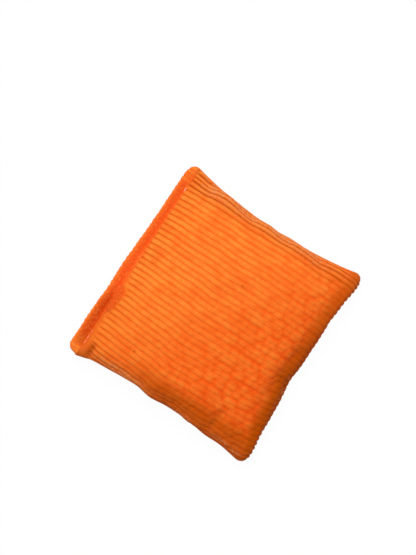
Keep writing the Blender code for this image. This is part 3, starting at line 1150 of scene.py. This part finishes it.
# Colours
# CREST_SHADE is a painted-shade copy of CREST_LIT, the crest's colour
CREST_LIT = (0.92, 0.248, 0.031)
CREST_SHADE = (0.95, 0.130, 0.010)
PILE_PALE = (0.97, 0.27, 0.05)
PATCH_LIT = (0.90, 0.155, 0.016)
# Painted shade in the hollows between the fill's lumps
HOLLOW_SHADE = (0.83, 0.076, 0.004)
# Painted shade in the grooves; also the darker strands of the thread
GROOVE = (0.82, 0.074, 0.004)
# Painted shade on the cloth, browner
SHADE_BROWN = (0.50, 0.074, 0.001)
BAND_RED = (0.79, 0.094, 0.011)
# Painted shade on the hem
BAND_SHADE = (0.50, 0.053, 0.002)
# Pale fibres along the seams, and painted sheen on the turned-down wales
FUZZ_AND_SHEEN_PALE = (0.70, 0.30, 0.11)
THREAD_ORANGE = (0.90, 0.16, 0.03)
THREAD_PALE = (0.95, 0.62, 0.45)
PELLET_WHITE = (0.85, 0.85, 0.82)
PELLET_GREY = (0.7, 0.7, 0.66)

# Texture noise: scale, detail, and how far each axis is squeezed
TEXTURES = {
    "tufts": (1500, 2, (0.6, 1, 1)),
    "patches": (230, 3, (0.6, 1, 1)),
    "strokes": (1300, 1, (1, 0.25, 1)),
    "speckle": (800, 2, (1, 1, 1)),
    "strands": (2200, 2, (1, 1, 3)),
    "clouding": (300, 3, (1, 1, 1)),
}

# How a texture is sharpened: multiplied, then lowered, and kept between 0 and 1
CONTRASTS = {"patches": (4.0, 1.7), "strokes": (5.0, 2.0), "speckle": (5.0, 2.6)}
TUFT_LEVEL = 0.4

# How much of each colour is mixed in
TIP_SHARE = 0.9
HATCH_SHARE = 0.3
LUMP_HIGHLIGHT_SHARE = 0.6
HOLLOW_SHADE_SHARE = 0.75
GROOVE_SHARE = 0.8
WORN_SHARE = 0.3
SHEEN_GAIN = 2.0
FLECK_SHARE = 0.4
FLUFF_SHARE = 0.5
STRAND_SHARE = 0.3
CLOUD_SHARE = 0.4

# Plain values of each material, and its bump's strength and depth
FINISHES = {
    "corduroy": {
        "Roughness": 0.95,
        "Specular IOR Level": 0.02,
        "Sheen Weight": 0.05,
        "Sheen Roughness": 0.5,
        "Sheen Tint": (1.0, 0.42, 0.18, 1.0),
    },
    "thread": {"Roughness": 0.8, "Specular IOR Level": 0.2},
    "pellet": {"Roughness": 0.35, "Subsurface Weight": 0.1},
    "floor": {"Base Color": (0.93, 0.93, 0.93, 1.0), "Roughness": 0.9},
}
BUMPS = {"corduroy": (0.3, 0.25 * MM), "thread": (0.4, 0.1 * MM), "pellet": (0.2, 0.1 * MM)}

# Sockets of the mix node for colours
MIX_AMOUNT = 0
MIX_BASE = 6
MIX_COLOUR = 7
MIX_RESULT = 2


class Shader:
    """Small helper that adds nodes to one material and links them."""

    def __init__(self, name):
        self.name = name
        self.material = bpy.data.materials.new(name)
        self.material.use_nodes = True
        self.nodes = self.material.node_tree.nodes
        self.links = self.material.node_tree.links
        self.surface = self.nodes["Principled BSDF"]
        for label, value in FINISHES[name].items():
            self.surface.inputs[label].default_value = value

    def feed(self, socket, value):
        """Links a socket to an output, or gives it a number or a colour."""
        if hasattr(value, "is_output"):
            self.links.new(value, socket)
        elif isinstance(value, tuple):
            socket.default_value = (*value, 1.0)
        else:
            socket.default_value = value

    def attribute(self, name):
        node = self.nodes.new("ShaderNodeAttribute")
        node.attribute_name = name
        return node.outputs["Fac"]

    def noise(self, label):
        scale, detail, squeeze = TEXTURES[label]
        place = self.nodes.new("ShaderNodeTexCoord")
        turn = self.nodes.new("ShaderNodeMapping")
        turn.inputs["Scale"].default_value = squeeze
        self.links.new(place.outputs["Object"], turn.inputs["Vector"])
        noise = self.nodes.new("ShaderNodeTexNoise")
        noise.inputs["Scale"].default_value = scale
        noise.inputs["Detail"].default_value = detail
        self.links.new(turn.outputs["Vector"], noise.inputs["Vector"])
        return noise.outputs["Fac"]

    def math(self, operation, a, b, clamp=False):
        node = self.nodes.new("ShaderNodeMath")
        node.operation = operation
        node.use_clamp = clamp
        self.feed(node.inputs[0], a)
        self.feed(node.inputs[1], b)
        return node.outputs[0]

    def sharpened(self, label):
        gain, drop = CONTRASTS[label]
        return self.math("SUBTRACT", self.math("MULTIPLY", self.noise(label), gain), drop, True)

    def mix(self, amount, base, colour):
        node = self.nodes.new("ShaderNodeMix")
        node.data_type = "RGBA"
        self.feed(node.inputs[MIX_AMOUNT], amount)
        self.feed(node.inputs[MIX_BASE], base)
        self.feed(node.inputs[MIX_COLOUR], colour)
        return node.outputs[MIX_RESULT]

    def tint(self, base, colour, amount, share):
        """Mixes a colour in by a share of an amount."""
        return self.mix(self.math("MULTIPLY", amount, share, True), base, colour)

    def finish(self, colour, height):
        """Gives the surface its colour, and a bump of its material's strength and depth."""
        self.links.new(colour, self.surface.inputs["Base Color"])
        node = self.nodes.new("ShaderNodeBump")
        strength, depth = BUMPS[self.name]
        node.inputs["Strength"].default_value = strength
        node.inputs["Distance"].default_value = depth
        self.links.new(height, node.inputs["Height"])
        self.links.new(node.outputs["Normal"], self.surface.inputs["Normal"])
        return self.material


def pile_colour(shader, tufts, hatch, flecks, painted_shade):
    """Pile of the bag: its patches, painted shade, tips, painted highlight on the lumps, painted
    shade in the hollows and grooves, then wear, more painted shade and painted sheen.
    """
    shade = shader.attribute("shade")
    base = shader.mix(shader.sharpened("patches"), CREST_LIT, PATCH_LIT)
    # Painted shade towards the far end of the low side
    base = shader.mix(shade, base, CREST_SHADE)
    tips = shader.math("SUBTRACT", tufts, TUFT_LEVEL, True)
    base = shader.tint(base, PILE_PALE, tips, TIP_SHARE)
    base = shader.tint(base, PATCH_LIT, hatch, HATCH_SHARE)
    # Painted highlight on the fill's lumps, and painted shade between them
    base = shader.tint(base, CREST_LIT, shader.attribute("lump"), LUMP_HIGHLIGHT_SHARE)
    base = shader.tint(base, HOLLOW_SHADE, shader.attribute("hollow"), HOLLOW_SHADE_SHARE)
    # Painted shade in the grooves
    base = shader.tint(base, GROOVE, shader.attribute("groove"), GROOVE_SHARE)
    worn = shader.math("MULTIPLY", shade, WORN_SHARE)
    base = shader.tint(base, CREST_LIT, flecks, worn)
    # Painted shade, browner, in grooves, dimples and on the shaded sides
    base = shader.mix(painted_shade, base, SHADE_BROWN)
    # Painted sheen on the turned-down wales
    strokes = shader.math("MULTIPLY", hatch, SHEEN_GAIN)
    return shader.tint(base, FUZZ_AND_SHEEN_PALE, shader.attribute("painted_sheen"), strokes)


def corduroy_material():
    shader = Shader("corduroy")
    tufts = shader.noise("tufts")
    hatch = shader.sharpened("strokes")
    flecks = shader.sharpened("speckle")
    painted_shade = shader.attribute("painted_shade")
    base = pile_colour(shader, tufts, hatch, flecks, painted_shade)
    # Painted shade on the hem's lower inner half
    hem = shader.mix(painted_shade, BAND_RED, BAND_SHADE)
    hem = shader.tint(hem, CREST_LIT, flecks, FLECK_SHARE)
    colour = shader.mix(shader.attribute("band"), base, hem)
    fluff = shader.math("MULTIPLY", flecks, shader.attribute("fuzz"))
    colour = shader.tint(colour, FUZZ_AND_SHEEN_PALE, fluff, FLUFF_SHARE)
    return shader.finish(colour, tufts)


def thread_material():
    shader = Shader("thread")
    strands = shader.noise("strands")
    colour = shader.mix(shader.attribute("pale"), THREAD_ORANGE, THREAD_PALE)
    return shader.finish(shader.tint(colour, GROOVE, strands, STRAND_SHARE), strands)


def pellet_material():
    shader = Shader("pellet")
    clouding = shader.noise("clouding")
    colour = shader.tint(PELLET_WHITE, PELLET_GREY, clouding, CLOUD_SHARE)
    return shader.finish(colour, clouding)


corduroy = corduroy_material()
for cover in (front_cover, back_cover):
    cover.data.materials.append(corduroy)
thread = thread_material()
for piece in threads:
    piece.data.materials.append(thread)
pellets.data.materials.append(pellet_material())

# Camera, lights and floor
CAMERA_X = -13.3 * MM
CAMERA_Y = 12.7 * MM
CAMERA_HEIGHT = 0.9
CLIP_START = 0.01
FRAME_HEIGHT = 284.0 * MM
IMAGE_TURN = 33.4
FLOOR_REACH = 3.0
FLOOR_WHITE_SHARE = 0.97
KEY_STRENGTH = 2.7
KEY_SOFTNESS = 30
KEY_ELEVATION = 60
KEY_HEADING = 135
WORLD_STRENGTH = 0.35


def add_camera():
    """Looks straight down, turned as the photo is."""
    data = bpy.data.cameras.new("camera")
    camera = linked_object("camera", data)
    camera.location = (CAMERA_X, CAMERA_Y, CAMERA_HEIGHT)
    camera.rotation_euler = (0, 0, math.radians(IMAGE_TURN))
    data.lens = data.sensor_width * (CAMERA_HEIGHT - SEAM_HEIGHT) / FRAME_HEIGHT
    data.clip_start = CLIP_START
    bpy.context.scene.camera = camera


def floor_material():
    """A white floor that keeps a faint shadow of the bag."""
    shader = Shader("floor")
    rays = shader.nodes.new("ShaderNodeLightPath")
    white = shader.nodes.new("ShaderNodeEmission")
    mix = shader.nodes.new("ShaderNodeMixShader")
    seen = shader.math("ADD", rays.outputs["Is Camera Ray"], rays.outputs["Is Glossy Ray"], True)
    seen = shader.math("ADD", seen, rays.outputs["Is Transmission Ray"], True)
    amount = shader.math("MULTIPLY", seen, FLOOR_WHITE_SHARE)
    shader.links.new(amount, mix.inputs[0])
    shader.links.new(shader.surface.outputs[0], mix.inputs[1])
    shader.links.new(white.outputs[0], mix.inputs[2])
    shader.links.new(mix.outputs[0], shader.nodes["Material Output"].inputs["Surface"])
    return shader.material


def add_floor():
    floor = linked_object("floor", square_mesh("floor", FLOOR_REACH, 0))
    floor.data.materials.append(floor_material())


def add_key_light():
    """A sun whose light comes from its heading, in degrees from +X towards +Y."""
    data = bpy.data.lights.new("key", "SUN")
    data.energy = KEY_STRENGTH
    data.angle = math.radians(KEY_SOFTNESS)
    sun = linked_object("key", data)
    h, e = math.radians(KEY_HEADING), math.radians(KEY_ELEVATION)
    source = Vector((math.cos(h) * math.cos(e), math.sin(h) * math.cos(e), math.sin(e)))
    sun.rotation_euler = source.to_track_quat("Z", "Y").to_euler()


def add_world():
    """Even light from all round, which the camera sees as white."""
    world = bpy.data.worlds.new("world")
    bpy.context.scene.world = world
    world.use_nodes = True
    nodes, links = world.node_tree.nodes, world.node_tree.links
    rays = nodes.new("ShaderNodeLightPath")
    strength = nodes.new("ShaderNodeMath")
    strength.operation = "MULTIPLY_ADD"
    strength.inputs[1].default_value = 1 - WORLD_STRENGTH
    strength.inputs[2].default_value = WORLD_STRENGTH
    links.new(rays.outputs["Is Camera Ray"], strength.inputs[0])
    links.new(strength.outputs[0], nodes["Background"].inputs["Strength"])
    nodes["Background"].inputs["Color"].default_value = (1.0, 1.0, 1.0, 1.0)


add_camera()
add_floor()
add_key_light()
add_world()
bpy.context.scene.view_settings.view_transform = "Standard"
